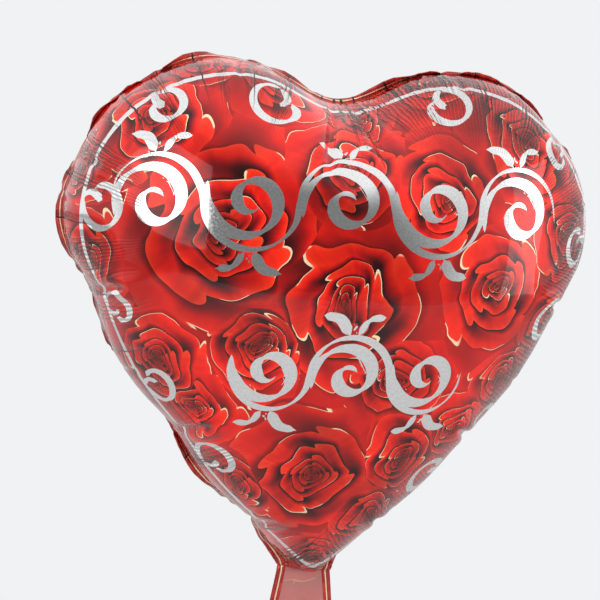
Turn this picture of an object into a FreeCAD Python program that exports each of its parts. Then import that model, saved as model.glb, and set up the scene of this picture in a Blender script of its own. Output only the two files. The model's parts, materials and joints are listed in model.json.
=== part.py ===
"""Heart-shaped foil balloon, upright, in millimetres.

The heart stands in the XZ plane with its front towards -Y and +Z up.
The origin is the middle of the neck, where a ribbon is tied and where the tail folds.

Two printed films are sealed to each other round their edge, so the balloon is two domes
that meet in a flat flange.  A two-ply valve sleeve runs from the end of the tail, through
the neck, into the inside.  The films are drawn thicker than real foil, so that every piece
is a sound solid; film_thickness is that drawn thickness.
"""
import FreeCAD, Part
import math
import os
import Sketcher

os.makedirs("parts", exist_ok=True)

DIMENSIONS = [
    ("lobe_radius", 98.0, "radius of each lobe along the seam"),
    ("lobe_offset", 76.0, "distance of each lobe's centre from the middle plane"),
    ("lobe_height", 248.0, "height of the lobes' centres above the neck"),
    ("side_radius", 400.0, "radius of the seam from lobe to neck"),
    ("cleft_radius", 20.0, "rounding of the seam in the cleft between the lobes"),
    ("neck_width", 26.0, "width of the open channel in the neck"),
    ("neck_fillet", 22.0, "rounding of the seam where the sides run into the neck"),
    ("neck_straight", 5.0, "height above the hinge line where the neck starts to widen"),
    ("flange_width", 6.0, "width of the sealed edge"),
    ("film_thickness", 0.4, "drawn thickness of one printed film"),
    ("seal_thickness", 0.6, "drawn thickness of the sealing layer between the two films"),
    ("fullness", 0.64, "half depth of the dome over the half width of the heart"),
    ("neck_flat", 9.5, "height above the fold line up to which the films lie flat"),
    ("neck_fade", 45.0, "height over which the dome grows from flat to full above that"),
    ("hinge_gap", 1.0, "distance of each body's films from the fold line"),
    ("tail_length", 22.0, "length of the printed tail below the fold line"),
    ("tail_flare", 3.0, "how much further out each side of the tail is at its lower end"),
    ("valve_width", 20.0, "width of the valve sleeve"),
    ("valve_inside", 92.0, "length of the valve sleeve above the fold line"),
    ("valve_lip", 2.0, "length of the valve sleeve's lip, as wide as the tail, below the printed films"),
    ("valve_ply", 0.15, "drawn thickness of one valve ply"),
    ("valve_slit", 0.1, "drawn gap between the two valve plies"),
    ("valve_seam", 3.0, "width of the seam along each side of the valve sleeve"),
    ("weld_width", 16.0, "width of each weld between a film and the valve sleeve"),
    ("weld_height", 8.0, "height of each weld between a film and the valve sleeve"),
]

doc = FreeCAD.newDocument("foil_balloon")
sheet = doc.addObject("Spreadsheet::Sheet", "Dimensions")
for row, (alias, value, note) in enumerate(DIMENSIONS, start=1):
    sheet.set(f"A{row}", note)
    sheet.set(f"B{row}", str(value))
    sheet.setAlias(f"B{row}", alias)
doc.recompute()


def size(alias):
    """The value of one driving dimension."""
    return float(sheet.get(alias))


# ---------------------------------------------------------------- the seam's outline

def seam_arcs(offset):
    """Right half of the seam, moved outwards by offset, from the cleft down to the neck.

    Each arc is (centre x, centre z, radius, start angle, end angle), and the arcs touch.
    """
    lobe_x, lobe_z, lobe_r = size("lobe_offset"), size("lobe_height"), size("lobe_radius")
    side_r, cleft_r, fillet_r = size("side_radius"), size("cleft_radius"), size("neck_fillet")
    fillet_x, fillet_z = size("neck_width") / 2 + fillet_r, size("neck_straight")

    # The cleft's arc sits above the notch and touches both lobes from outside.
    cleft_z = lobe_z + math.sqrt((lobe_r + cleft_r) ** 2 - lobe_x ** 2)
    cleft_end = math.atan2(lobe_z - cleft_z, lobe_x)

    # The side's arc holds the lobe inside it and touches the neck's fillet from outside.
    reach_lobe, reach_fillet = side_r - lobe_r, side_r + fillet_r
    span_x, span_z = fillet_x - lobe_x, fillet_z - lobe_z
    span = math.hypot(span_x, span_z)
    along = (reach_lobe ** 2 - reach_fillet ** 2 + span ** 2) / (2 * span)
    across = math.sqrt(reach_lobe ** 2 - along ** 2)
    side_x = lobe_x + (along * span_x + across * span_z) / span
    side_z = lobe_z + (along * span_z - across * span_x) / span
    junction = math.atan2(lobe_z - side_z, lobe_x - side_x)
    side_end = math.atan2(fillet_z - side_z, fillet_x - side_x)

    return [
        (0.0, cleft_z, cleft_r - offset, -math.pi / 2, cleft_end),
        (lobe_x, lobe_z, lobe_r + offset, cleft_end + math.pi, junction),
        (side_x, side_z, side_r + offset, junction, side_end),
        (fillet_x, fillet_z, fillet_r - offset, side_end + math.pi, math.pi),
    ]


def arc_point(arc, share):
    """Point (x, z) at a share of the way along an arc."""
    centre_x, centre_z, radius, start, end = arc
    angle = start + (end - start) * share
    return centre_x + radius * math.cos(angle), centre_z + radius * math.sin(angle)


def arc_edge(arc, y):
    """The arc as an edge in the plane at y."""
    ends = [arc_point(arc, share) for share in (0.0, 0.5, 1.0)]
    return Part.Arc(*[FreeCAD.Vector(x, y, z) for x, z in ends]).toShape()


# ---------------------------------------------------------------- the dome's depth

DIRECTIONS = 30


def arc_reaches(arc, x, z, step_x, step_z):
    """Distances along a ray at which it meets an arc."""
    centre_x, centre_z, radius, start, end = arc
    from_x, from_z = x - centre_x, z - centre_z
    half_b = from_x * step_x + from_z * step_z
    square = half_b ** 2 - (from_x ** 2 + from_z ** 2 - radius ** 2)
    if square < 0:
        return []
    found = []
    for reach in (-half_b - math.sqrt(square), -half_b + math.sqrt(square)):
        angle = math.atan2(from_z + reach * step_z, from_x + reach * step_x)
        middle = (start + end) / 2
        turn = (angle - middle + math.pi) % (2 * math.pi) - math.pi
        if reach > 0 and abs(turn) <= abs(end - start) / 2 + 1e-6:
            found.append(reach)
    return found


def reach_to_seam(point, direction):
    """Distance from a point of the heart to the seam; below the neck it is an open channel."""
    half_neck = size("neck_width") / 2
    reaches = []
    for side in (1, -1):
        x, step_x = point[0] * side, direction[0] * side
        for arc in seam_arcs(0.0):
            reaches += arc_reaches(arc, x, point[1], step_x, direction[1])
        if step_x > 1e-9:
            reach = (half_neck - x) / step_x
            if reach > 0 and point[1] + reach * direction[1] <= size("neck_straight"):
                reaches.append(reach)
    return min(reaches, default=math.inf)


def half_depth(point):
    """Half depth of the balloon over a point of the heart.

    Every chord through the point is cut into two lengths, and the depth is the harmonic
    mean of their products: it makes an ellipse into an ellipsoid, and it stays smooth and
    in proportion where the heart narrows to the neck.
    """
    total = 0.0
    for index in range(DIRECTIONS):
        angle = math.pi * (index + 0.5) / DIRECTIONS
        step_x, step_z = math.cos(angle), math.sin(angle)
        ahead = reach_to_seam(point, (step_x, step_z))
        behind = reach_to_seam(point, (-step_x, -step_z))
        total += 1.0 / (ahead * behind)
    rise = min(1.0, max(0.0, (point[1] - size("neck_flat")) / size("neck_fade")))
    fade = rise * rise * (3 - 2 * rise)
    return size("fullness") * math.sqrt(DIRECTIONS / total) * fade


# ---------------------------------------------------------------- one skin of a dome

CLEFT_SPANS, LOBE_SPANS = 3, 12
NECK_SPANS, FILLET_SPANS, SIDE_SPANS = 1, 4, 11


def top_edge(offset):
    """Points from the bottom of the cleft over the lobe to its junction with the side."""
    cleft, lobe, _, _ = seam_arcs(offset)
    points = [arc_point(cleft, step / CLEFT_SPANS) for step in range(CLEFT_SPANS)]
    slowing = [math.sin(math.pi / 2 * step / LOBE_SPANS) for step in range(LOBE_SPANS + 1)]
    points += [arc_point(lobe, share) for share in slowing]
    return points


def side_edge(offset):
    """Points from the fold line up the neck and the side to the junction with the lobe."""
    _, _, side, fillet = seam_arcs(offset)
    half_neck = size("neck_width") / 2 + offset
    points = [(half_neck, size("hinge_gap"))]
    points += [arc_point(fillet, 1 - step / FILLET_SPANS) for step in range(FILLET_SPANS)]
    slowing = [math.sin(math.pi / 2 * step / SIDE_SPANS) for step in range(SIDE_SPANS + 1)]
    points += [arc_point(side, 1 - share) for share in slowing]
    return points


def shares(points):
    """How far along the run each point lies, from 0 to 1."""
    lengths = [0.0]
    for (x1, z1), (x2, z2) in zip(points, points[1:]):
        lengths.append(lengths[-1] + math.hypot(x2 - x1, z2 - z1))
    return [length / lengths[-1] for length in lengths]


def grid_points(offset):
    """Rows of (x, z) over the right half of the heart, from the fold line to the lobe's top.

    The four edges of the half heart are blended into one grid, and its lines crowd
    together towards the seam, where the dome turns down steeply.
    """
    top, side = top_edge(offset), side_edge(offset)
    across, up = shares(top), shares(side)
    fold_z, cleft_z = size("hinge_gap"), top[0][1]
    fold_x, (corner_x, corner_z) = side[0][0], top[-1]
    rows = []
    for (side_x, side_z), v in zip(side, up):
        row = []
        for (top_x, top_z), u in zip(top, across):
            middle_z = fold_z + v * (cleft_z - fold_z)
            x = u * side_x + v * (top_x - u * corner_x)
            z = u * side_z + (1 - u) * middle_z
            z += v * (top_z - (1 - u) * cleft_z - u * corner_z)
            row.append((x, z))
        rows.append(row)
    return rows


def dome_depths():
    """The half depth at each point of the grid, with none along the seam."""
    rows = [[half_depth(point) for point in row[:-1]] + [0.0] for row in grid_points(0.0)[:-1]]
    return rows + [[0.0] * len(rows[0])]


def skin_face(offset, seam_y, depths):
    """Right half of one skin of the front dome, as one smooth face.

    offset moves its seam outwards and seam_y is the plane that the seam lies in.
    """
    rows = [
        [FreeCAD.Vector(x, seam_y - depth, z) for (x, z), depth in zip(row, depth_row)]
        for row, depth_row in zip(grid_points(offset), depths)
    ]
    surface = Part.BSplineSurface()
    surface.interpolate(rows)
    return surface.toShape()


def mirrored(shape, normal):
    """The shape on the other side of the plane through the origin."""
    return shape.mirror(FreeCAD.Vector(0, 0, 0), normal)


SEWING_TOLERANCE = 0.01
ON_PLANE = 1e-6
ACROSS_X, ACROSS_Y = FreeCAD.Vector(1, 0, 0), FreeCAD.Vector(0, 1, 0)
UPRIGHT = FreeCAD.Rotation(ACROSS_X, 90)


def edges_on_seam(face, seam_y):
    """The skin's edges along the seam: those that lie in its plane, away from the fold line."""
    found = []
    for edge in face.Edges:
        samples = edge.discretize(7)
        in_plane = all(abs(p.y - seam_y) < ON_PLANE for p in samples)
        on_fold = all(abs(p.z - size("hinge_gap")) < ON_PLANE for p in samples)
        if in_plane and not on_fold:
            found.append(edge)
    return found


def flange_outer_edges(y):
    """The flange's outer edge in the plane at y, right half, from the cleft to the fold line."""
    width = size("flange_width")
    edges = [arc_edge(arc, y) for arc in seam_arcs(width)]
    x = size("neck_width") / 2 + width
    top = FreeCAD.Vector(x, y, size("neck_straight"))
    end = FreeCAD.Vector(x, y, size("hinge_gap"))
    edges.append(Part.makeLine(top, end))
    return edges


def joined_face(edges):
    """One flat face inside a loop of edges."""
    return Part.Face(Part.Wire(Part.__sortEdges__(edges)))


def flange_face(seam_edges, y, inner_x):
    """Flat face from the seam out to the edge of the film, both halves."""
    outer = flange_outer_edges(y)
    outer_x = size("neck_width") / 2 + size("flange_width")
    gap = size("hinge_gap")
    foot = Part.makeLine(FreeCAD.Vector(inner_x, y, gap), FreeCAD.Vector(outer_x, y, gap))
    right = list(seam_edges) + outer + [foot]
    left = [mirrored(edge, ACROSS_X) for edge in right]
    return joined_face(right + left)


def fold_line_face(outer_y, inner_y):
    """The cut end of the film at the fold line."""
    gap = size("hinge_gap")
    half = size("neck_width") / 2
    stops = [half + size("flange_width"), half, half - size("film_thickness")]
    outer_x = [stops[0], stops[1], 0.0, -stops[1], -stops[0]]
    inner_x = [-stops[0], -stops[2], 0.0, stops[2], stops[0]]
    loop = [FreeCAD.Vector(x, outer_y, gap) for x in outer_x]
    loop += [FreeCAD.Vector(x, inner_y, gap) for x in inner_x]
    return Part.Face(Part.makePolygon(loop + [loop[0]]))


def front_film():
    """The front film: a dome with a flat flange, closed at the fold line by its cut end."""
    film = size("film_thickness")
    inner_y = -size("seal_thickness") / 2
    outer_y = inner_y - film
    half_neck = size("neck_width") / 2
    depths = dome_depths()
    outer_skin = skin_face(0.0, outer_y, depths)
    inner_skin = skin_face(-film, inner_y, depths)
    faces = [outer_skin, inner_skin]
    faces += [mirrored(face, ACROSS_X) for face in (outer_skin, inner_skin)]
    faces.append(flange_face(edges_on_seam(outer_skin, outer_y), outer_y, half_neck))
    faces.append(flange_face(edges_on_seam(inner_skin, inner_y), inner_y, half_neck - film))
    for edge in flange_outer_edges(outer_y):
        rim = edge.extrude(FreeCAD.Vector(0, film, 0))
        faces += [rim, mirrored(rim, ACROSS_X)]
    faces.append(fold_line_face(outer_y, inner_y))
    sewn = Part.makeCompound(faces)
    sewn.sewShape(SEWING_TOLERANCE)
    solid = Part.makeSolid(sewn.Shells[0])
    if solid.Volume < 0:
        solid.reverse()
    return solid


def bind(target, name, expression):
    """Tie one property, or one constraint of a sketch, to the sheet."""
    target.setExpression(name, expression.replace("$", "Dimensions."))


def seam_sketch():
    """The seam as an open chain of touching arcs, from one side of the neck to the other."""
    sketch = doc.addObject("Sketcher::SketchObject", "seam_line")
    sketch.Placement = FreeCAD.Placement(FreeCAD.Vector(), UPRIGHT)
    cleft, lobe, side, fillet = seam_arcs(0.0)
    half_neck, top, foot = size("neck_width") / 2, size("neck_straight"), size("hinge_gap")

    def arc(centre_x, centre_z, radius, low, high):
        circle = Part.Circle(FreeCAD.Vector(centre_x, centre_z, 0), FreeCAD.Vector(0, 0, 1), radius)
        return sketch.addGeometry(Part.ArcOfCircle(circle, low, high), False)

    def line(x):
        segment = Part.LineSegment(FreeCAD.Vector(x, top, 0), FreeCAD.Vector(x, foot, 0))
        return sketch.addGeometry(segment, False)

    cleft_arc = arc(0, cleft[1], cleft[2], -math.pi - cleft[4], cleft[4])
    right = [
        arc(*lobe[:3], lobe[4], lobe[3]), arc(*side[:3], side[4], side[3]), arc(*fillet[:3], *fillet[3:]),
    ]
    left = []
    for centre_x, centre_z, radius, start, end in (lobe, side, fillet):
        low, high = sorted((math.pi - start, math.pi - end))
        left.append(arc(-centre_x, centre_z, radius, low, high))
    right_neck, left_neck = line(half_neck), line(-half_neck)

    begin, finish, centre, axis_z = 1, 2, 3, -2
    joints = [
        (cleft_arc, finish, right[0], finish), (right[0], begin, right[1], finish),
        (right[1], begin, right[2], begin), (right[2], finish, right_neck, begin),
        (cleft_arc, begin, left[0], begin), (left[0], finish, left[1], begin),
        (left[1], finish, left[2], finish), (left[2], begin, left_neck, begin),
    ]
    for joint in joints:
        sketch.addConstraint(Sketcher.Constraint("Tangent", *joint))
    for one, other in zip(right, left):
        sketch.addConstraint(Sketcher.Constraint("Equal", one, other))
    sketch.addConstraint(Sketcher.Constraint("Vertical", right_neck))
    twins = ((right[0], left[0], centre), (right_neck, left_neck, begin), (right_neck, left_neck, finish))
    for one, other, point in twins:
        sketch.addConstraint(Sketcher.Constraint("Symmetric", one, point, other, point, axis_z))
    measures = [
        ("Radius", (cleft_arc,), cleft[2], "$cleft_radius"),
        ("Radius", (right[0],), lobe[2], "$lobe_radius"),
        ("Radius", (right[1],), side[2], "$side_radius"),
        ("Radius", (right[2],), fillet[2], "$neck_fillet"),
        ("DistanceX", (right[0], centre), lobe[0], "$lobe_offset"),
        ("DistanceY", (right[0], centre), lobe[1], "$lobe_height"),
        ("DistanceY", (right[2], centre), top, "$neck_straight"),
        ("DistanceX", (right_neck, begin), half_neck, "$neck_width / 2"),
        ("DistanceY", (right_neck, finish), foot, "$hinge_gap"),
    ]
    for kind, where, value, expression in measures:
        index = sketch.addConstraint(Sketcher.Constraint(kind, *where, value))
        bind(sketch, f"Constraints[{index}]", expression)
    return sketch


# ---------------------------------------------------------------- flat pieces


def extruded(label, area, forward, backward):
    """A flat sub-part: an area in an XZ plane, thickened along Y."""
    piece = doc.addObject("Part::Extrusion", label)
    piece.Base = area
    piece.DirMode = "Custom"
    piece.Dir = FreeCAD.Vector(0, 1, 0)
    piece.Solid = True
    bind(piece, "LengthFwd", forward)
    bind(piece, "LengthRev", backward)
    return piece


def outline_sketch(name, loops, back_y):
    """A sketch of closed outlines whose corners are (x, z) pairs of sheet expressions."""
    sketch = doc.addObject("Sketcher::SketchObject", name)
    sketch.Placement = FreeCAD.Placement(FreeCAD.Vector(), UPRIGHT)
    bind(sketch, "Placement.Base.y", back_y)
    for loop in loops:
        corners = [[value_of(expression) for expression in corner] for corner in loop]
        first = sketch.GeometryCount
        for index, corner in enumerate(corners):
            following = corners[(index + 1) % len(corners)]
            ends = [FreeCAD.Vector(*xz, 0) for xz in (corner, following)]
            sketch.addGeometry(Part.LineSegment(*ends), False)
        for index, (corner, expressions) in enumerate(zip(corners, loop)):
            line, following = first + index, first + (index + 1) % len(corners)
            sketch.addConstraint(Sketcher.Constraint("Coincident", line, 2, following, 1))
            for kind, value, expression in zip(("DistanceX", "DistanceY"), corner, expressions):
                number = sketch.addConstraint(Sketcher.Constraint(kind, line, 1, value))
                bind(sketch, f"Constraints[{number}]", expression)
    return sketch


def value_of(expression):
    """The number that a sheet expression stands for."""
    return float(sheet.evalExpression(expression.replace("$", "")))


def add_box(label, corner, extent):
    """A rectangular piece: its low corner and its extent along X, Y and Z, as expressions."""
    box = doc.addObject("Part::Box", label)
    for name, expression in zip(("x", "y", "z"), corner):
        bind(box, f"Placement.Base.{name}", expression)
    for name, expression in zip(("Length", "Width", "Height"), extent):
        bind(box, name, expression)
    return box


def add_pair(label, first, second):
    """Two separate solids that are one sub-part."""
    pair = doc.addObject("Part::Compound", label)
    pair.Links = [first, second]
    return pair


def add_sleeve(prefix, front_ply, back_ply, low_z, height):
    """One length of the valve sleeve: its two plies and the seams along its two sides."""
    extent = ("$valve_seam", "$valve_slit", height)
    seams = [
        add_box(f"{prefix}seam_{side}", (low_x, "-$valve_slit / 2", low_z), extent)
        for side, low_x in (("left", "-$valve_width / 2"), ("right", "$valve_width / 2 - $valve_seam"))
    ]
    label = f"{prefix}valve_side_seams"
    return {
        f"{prefix}valve_front_ply": front_ply,
        f"{prefix}valve_back_ply": back_ply,
        label: add_pair(label, *seams),
    }


def add_inner_sleeve():
    """The valve sleeve above the fold line: two plain strips inside the balloon."""
    extent = ("$valve_width", "$valve_ply", "$valve_inside")
    front, back = (
        add_box(label, ("-$valve_width / 2", low_y, "$hinge_gap"), extent)
        for label, low_y in (
            ("valve_front_ply", "-$valve_slit / 2 - $valve_ply"), ("valve_back_ply", "$valve_slit / 2"))
    )
    return add_sleeve("", front, back, "$hinge_gap", "$valve_inside")


def add_tail_sleeve():
    """The valve sleeve below the fold line: it widens to a lip that shows below the tail."""
    narrow = "$valve_width / 2"
    wide = "$neck_width / 2 + $flange_width + $tail_flare"
    top_z, lip_z = "-$hinge_gap", "-$hinge_gap - $tail_length"
    right = [(narrow, top_z), (narrow, lip_z), (wide, lip_z), (wide, f"{lip_z} - $valve_lip")]
    outline = right + [(f"-({x})", z) for x, z in reversed(right)]
    plies = [
        extruded(label, outline_sketch(f"{label}_outline", [outline], back_y), *reach)
        for label, back_y, reach in (
            ("tail_valve_front_ply", "-$valve_slit / 2", ("0", "$valve_ply")),
            ("tail_valve_back_ply", "$valve_slit / 2", ("$valve_ply", "0")))
    ]
    return add_sleeve("tail_", *plies, f"{lip_z} - $valve_lip", "$tail_length + $valve_lip")


def add_welds(label, low_z):
    """The welds that hold the valve sleeve to the front film and to the back film."""
    thickness = "$seal_thickness / 2 - $valve_slit / 2 - $valve_ply"
    extent = ("$weld_width", thickness, "$weld_height")
    welds = [
        add_box(f"{label}_{side}", ("-$weld_width / 2", low_y, low_z), extent)
        for side, low_y in (("front", "-$seal_thickness / 2"), ("back", "$valve_slit / 2 + $valve_ply"))
    ]
    return add_pair(label, *welds)


def add_tail():
    """The printed tail below the fold line: two films and the seals along its two sides."""
    half, flange = "$neck_width / 2", "$flange_width"
    top_z, low_z = "-$hinge_gap", "-$hinge_gap - $tail_length"
    wide = [
        (f"-({half}) - {flange}", top_z), (f"{half} + {flange}", top_z),
        (f"{half} + {flange} + $tail_flare", low_z), (f"-({half}) - {flange} - $tail_flare", low_z),
    ]
    right = [
        (half, top_z), (f"{half} + {flange}", top_z),
        (f"{half} + {flange} + $tail_flare", low_z), (f"{half} + $tail_flare", low_z),
    ]
    left = [(f"-({x})", z) for x, z in right]
    front = outline_sketch("tail_front_outline", [wide], "-$seal_thickness / 2")
    back = outline_sketch("tail_back_outline", [wide], "$seal_thickness / 2")
    sides = outline_sketch("tail_seal_outline", [right, left], "0")
    return {
        "tail_front_film": extruded("tail_front_film", front, "0", "$film_thickness"),
        "tail_back_film": extruded("tail_back_film", back, "$film_thickness", "0"),
        "tail_edge_seals": extruded("tail_edge_seals", sides, "$seal_thickness / 2", "$seal_thickness / 2"),
    }


def add_feature(label, shape):
    """A sub-part whose shape is worked out from the sheet by the functions above."""
    feature = doc.addObject("Part::Feature", label)
    feature.Shape = shape
    return feature


def build():
    """Every sub-part of the balloon, by its name."""
    front = front_film()
    parts = {
        "front_panel": add_feature("front_panel", front),
        "back_panel": add_feature("back_panel", mirrored(front, ACROSS_Y)),
    }
    flange_area = doc.addObject("Part::Offset2D", "flange_area")
    flange_area.Source = seam_sketch()
    flange_area.Mode = "Skin"
    flange_area.Join = "Arc"
    flange_area.Fill = True
    bind(flange_area, "Value", "$flange_width")
    half_seal = "$seal_thickness / 2"
    parts["perimeter_seal"] = extruded("perimeter_seal", flange_area, half_seal, half_seal)
    parts.update(add_inner_sleeve())
    parts["neck_welds"] = add_welds("neck_welds", "$hinge_gap")
    parts.update(add_tail())
    parts.update(add_tail_sleeve())
    parts["tail_welds"] = add_welds("tail_welds", "-$hinge_gap - $weld_height")
    return parts


def write(parts):
    """Check every object of the document, then write each sub-part to its own file."""
    doc.recompute()
    for item in doc.Objects:
        if "Invalid" in item.State or "Error" in item.State:
            raise RuntimeError(f"{item.Name} failed: {item.getStatusString()}")
    for label, part in parts.items():
        if part.Shape.isNull() or not part.Shape.isValid() or not part.Shape.Solids:
            raise RuntimeError(f"{label} has no sound shape")
        part.Shape.exportStep(f"parts/{label}.step")
        print(f"{label}: {len(part.Shape.Solids)} solid, {part.Shape.Volume:.1f} mm3")


write(build())
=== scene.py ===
import json
import math

import bpy
import numpy as np
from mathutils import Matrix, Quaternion, Vector
from mathutils.geometry import delaunay_2d_cdt


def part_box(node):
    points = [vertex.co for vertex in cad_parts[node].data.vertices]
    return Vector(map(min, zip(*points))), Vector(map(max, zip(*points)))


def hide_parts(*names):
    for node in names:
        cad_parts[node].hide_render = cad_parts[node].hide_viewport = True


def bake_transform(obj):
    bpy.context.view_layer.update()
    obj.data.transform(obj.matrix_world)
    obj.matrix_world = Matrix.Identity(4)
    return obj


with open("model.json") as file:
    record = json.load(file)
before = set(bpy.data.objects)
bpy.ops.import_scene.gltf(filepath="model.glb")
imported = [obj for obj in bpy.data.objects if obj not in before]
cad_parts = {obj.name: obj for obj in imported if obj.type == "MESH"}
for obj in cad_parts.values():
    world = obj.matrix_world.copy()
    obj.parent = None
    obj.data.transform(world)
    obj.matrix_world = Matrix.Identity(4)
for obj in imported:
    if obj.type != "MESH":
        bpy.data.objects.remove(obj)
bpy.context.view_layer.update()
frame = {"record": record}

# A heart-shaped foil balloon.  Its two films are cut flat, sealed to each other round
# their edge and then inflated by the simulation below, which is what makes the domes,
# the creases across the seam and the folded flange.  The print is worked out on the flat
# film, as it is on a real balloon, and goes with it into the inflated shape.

MM = 0.001
MOUNTS = {mount["name"]: mount for mount in frame["record"]["mounts"]}
FOLD_LINE_Z = MOUNTS["neck_tie"]["pos_m"][2] / MM      # where the tail folds, in millimetres
PORT_Z = MOUNTS["fill_port"]["pos_m"][2] / MM          # the lower end of the valve sleeve

# ------------------------ the flat cut, in millimetres

FLANGE = 6.0            # width of the sealed edge
FLAT_WIDTH = 450.0      # the film's width before it is inflated, flange included
LOBE_R = 148.0          # the two round lobes
LOBE_END = math.radians(-18.0)      # where a lobe's arc goes over into the side's
SIDE_R = 385.0          # the long, nearly straight sides
CLEFT_R = 52.0          # rounding of the cleft between the lobes
NECK_W = 26.0           # the open channel between the two seals
NECK_FILLET = 22.0      # rounding between a side and the neck
NECK_TOP = 6.0          # where the neck starts to widen, above the fold line
TAIL_FLARE = 3.0        # how much wider each side is at the tail's end
TAIL_END = -23.0        # the lower end of the printed films, from the fold line

SEAM_CLEARANCE = 0.62   # nearest a grid point comes to the seam, as a share of the spacing
NO_AREA = 1e-6          # triangles smaller than this are left out


def seam_arcs(offset=0.0):
    """Right half of the flat seam from the cleft to the neck, moved outwards by offset.

    Each arc is (centre x, centre z, radius, start angle, end angle).
    """
    lobe_x = FLAT_WIDTH / 2 - FLANGE - LOBE_R
    side_x = lobe_x + (LOBE_R - SIDE_R) * math.cos(LOBE_END)
    side_z = (LOBE_R - SIDE_R) * math.sin(LOBE_END)
    fillet_x = NECK_W / 2 + NECK_FILLET
    fillet_z = side_z - math.sqrt((SIDE_R + NECK_FILLET) ** 2 - (fillet_x - side_x) ** 2)
    side_end = math.atan2(fillet_z - side_z, fillet_x - side_x)
    cleft_z = math.sqrt((LOBE_R + CLEFT_R) ** 2 - lobe_x ** 2)
    cleft_end = math.atan2(-cleft_z, lobe_x)
    lift = NECK_TOP - fillet_z
    return [
        (0.0, cleft_z + lift, CLEFT_R - offset, -math.pi / 2, cleft_end),
        (lobe_x, lift, LOBE_R + offset, cleft_end + math.pi, LOBE_END),
        (side_x, side_z + lift, SIDE_R + offset, LOBE_END, side_end),
        (fillet_x, NECK_TOP, NECK_FILLET - offset, side_end + math.pi, math.pi),
    ]


def half_seam(spacing, offset=0.0):
    """Points along the right half of the flat seam, cleft first and tail end last.

    The number of points doesn't depend on the offset, so two offsets pair up.
    """
    points = []
    least = (2, 4, 4, 4)
    for arc, plain, fewest in zip(seam_arcs(offset), seam_arcs(), least):
        centre_x, centre_z, radius, start, end = arc
        steps = max(fewest, round(abs(end - start) * plain[2] / spacing))
        for step in range(steps):
            angle = start + (end - start) * step / steps
            points.append((centre_x + radius * math.cos(angle), centre_z + radius * math.sin(angle)))
    half_neck = NECK_W / 2 + offset
    stops = [(half_neck, NECK_TOP), (half_neck, FOLD_LINE_Z), (half_neck + TAIL_FLARE, TAIL_END)]
    for (x1, z1), (x2, z2) in zip(stops, stops[1:]):
        steps = max(1, round((z1 - z2) / spacing))
        for step in range(steps):
            points.append((x1 + (x2 - x1) * step / steps, z1 + (z2 - z1) * step / steps))
    return points + [stops[-1]]


def inside(points, loop):
    """Which of the points lie inside a closed loop."""
    result = np.zeros(len(points), bool)
    for (x1, z1), (x2, z2) in zip(loop, np.roll(loop, -1, axis=0)):
        if z1 == z2:
            continue
        crosses = (z1 > points[:, 1]) != (z2 > points[:, 1])
        result ^= crosses & (points[:, 0] < (x2 - x1) * (points[:, 1] - z1) / (z2 - z1) + x1)
    return result


def distance_to(points, chain):
    """Distance from each point to a chain of points, taken as straight pieces."""
    nearest = np.full(len(points), np.inf)
    for start, end in zip(chain[:-1], chain[1:]):
        along = end - start
        share = np.clip((points - start) @ along / max(along @ along, 1e-12), 0, 1)
        gap = points - start - share[:, None] * along
        nearest = np.minimum(nearest, np.hypot(gap[:, 0], gap[:, 1]))
    return nearest


def doubled_areas(flat, triangles):
    """Twice the area of each flat triangle, below zero where it runs clockwise."""
    corner = flat[triangles]
    return np.cross(corner[:, 1] - corner[:, 0], corner[:, 2] - corner[:, 0])


def flat_mesh(spacing):
    """The flat cut as triangles: points, film triangles inside the seam, flange triangles."""
    inner = half_seam(spacing)
    outer = half_seam(spacing, FLANGE)
    count = len(inner)
    seam = inner + [(-x, z) for x, z in inner[:0:-1]]
    edge = outer + [(-x, z) for x, z in outer[:0:-1]]
    half_mouth = inner[-1][0]
    steps = max(2, round(2 * half_mouth / spacing))
    mouth = [(half_mouth - 2 * half_mouth * step / steps, TAIL_END) for step in range(1, steps)]
    total = len(seam)
    chains = [(i, (i + 1) % total) for i in range(total) if i != count - 1]
    chains += [(total + a, total + b) for a, b in chains]
    mouth_ids = [count - 1] + list(range(2 * total, 2 * total + len(mouth))) + [count]
    chains += list(zip(mouth_ids, mouth_ids[1:]))
    chains += [(count - 1, total + count - 1), (count, total + count)]

    loop = np.array(seam[:count] + mouth + seam[count:])
    rows = np.arange(loop[:, 1].min(), loop[:, 1].max(), spacing * math.sqrt(3) / 2)
    columns = np.arange(-math.ceil(FLAT_WIDTH / 2 / spacing), math.ceil(FLAT_WIDTH / 2 / spacing) + 1)
    grid = np.array([((i + 0.5 * (j % 2)) * spacing, z) for j, z in enumerate(rows) for i in columns])
    grid = grid[inside(grid, loop)]
    closed = np.vstack([loop, loop[:1]])
    grid = grid[distance_to(grid, closed) > SEAM_CLEARANCE * spacing]

    points = [Vector(p) for p in seam + edge + mouth] + [Vector(p) for p in grid]
    made = delaunay_2d_cdt(points, chains, [], 0, 1e-6)
    flat, triangles = np.array([tuple(p) for p in made[0]]), np.array(made[2])
    turn = doubled_areas(flat, triangles)
    triangles = triangles[np.abs(turn) > NO_AREA]
    turn = turn[np.abs(turn) > NO_AREA]
    triangles[turn < 0] = triangles[turn < 0][:, ::-1]
    centres = flat[triangles].mean(axis=1)
    in_film = inside(centres, loop)
    in_flange = inside(centres, np.array(edge)) & ~in_film
    used = np.zeros(len(flat), bool)
    used[triangles[in_film | in_flange]] = True
    number = np.cumsum(used) - 1
    return flat[used], number[triangles[in_film]], number[triangles[in_flange]]


# ------------------------ the simulation

EDGE_BASE = 10_000_000      # an edge's key is its lower point times this, plus its higher point


def triangle_edges(triangles):
    """The three edges of every triangle, all the first edges before all the second ones."""
    return np.vstack([triangles[:, [0, 1]], triangles[:, [1, 2]], triangles[:, [2, 0]]])


def edge_keys(edges):
    """One number for each edge, the same in both directions."""
    ordered = np.sort(edges, axis=1).astype(np.int64)
    return ordered[:, 0] * EDGE_BASE + ordered[:, 1]


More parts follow.
